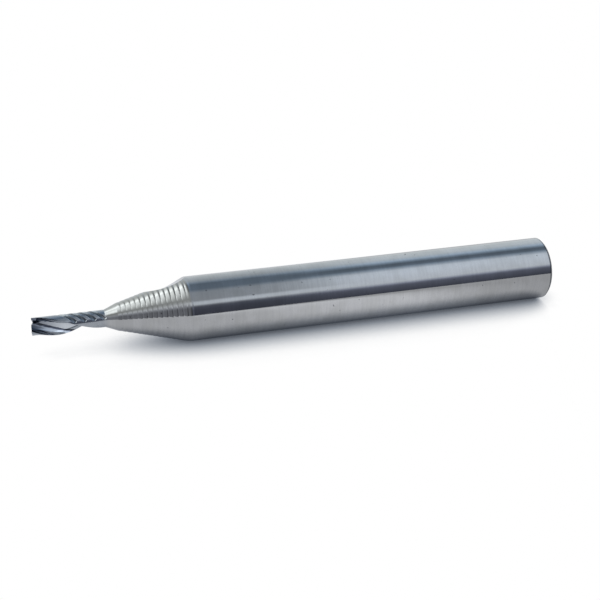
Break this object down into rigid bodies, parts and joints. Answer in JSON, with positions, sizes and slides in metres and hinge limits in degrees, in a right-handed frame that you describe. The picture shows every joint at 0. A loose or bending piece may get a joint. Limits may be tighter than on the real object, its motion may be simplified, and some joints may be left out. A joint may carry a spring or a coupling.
{
  "type": "spiral router bit",
  "caption": "Single-flute upcut router bit: a slim spiral cutter and neck, a beaded cone and a plain ground cylindrical shank.",
  "frame": {"origin": "centre of the flat end face of the shank, on the axis of the bit", "axes": "+Z along the axis from the shank end to the cutting tip; -Y towards the side that the flute faces near the tip"},
  "size_m": [0.006, 0.006, 0.05],
  "materials": {
    "ground_carbide": "polished"
  },
  "bodies": {
    "root": {"router_bit": "ground_carbide"}
  },
  "joints": []
}
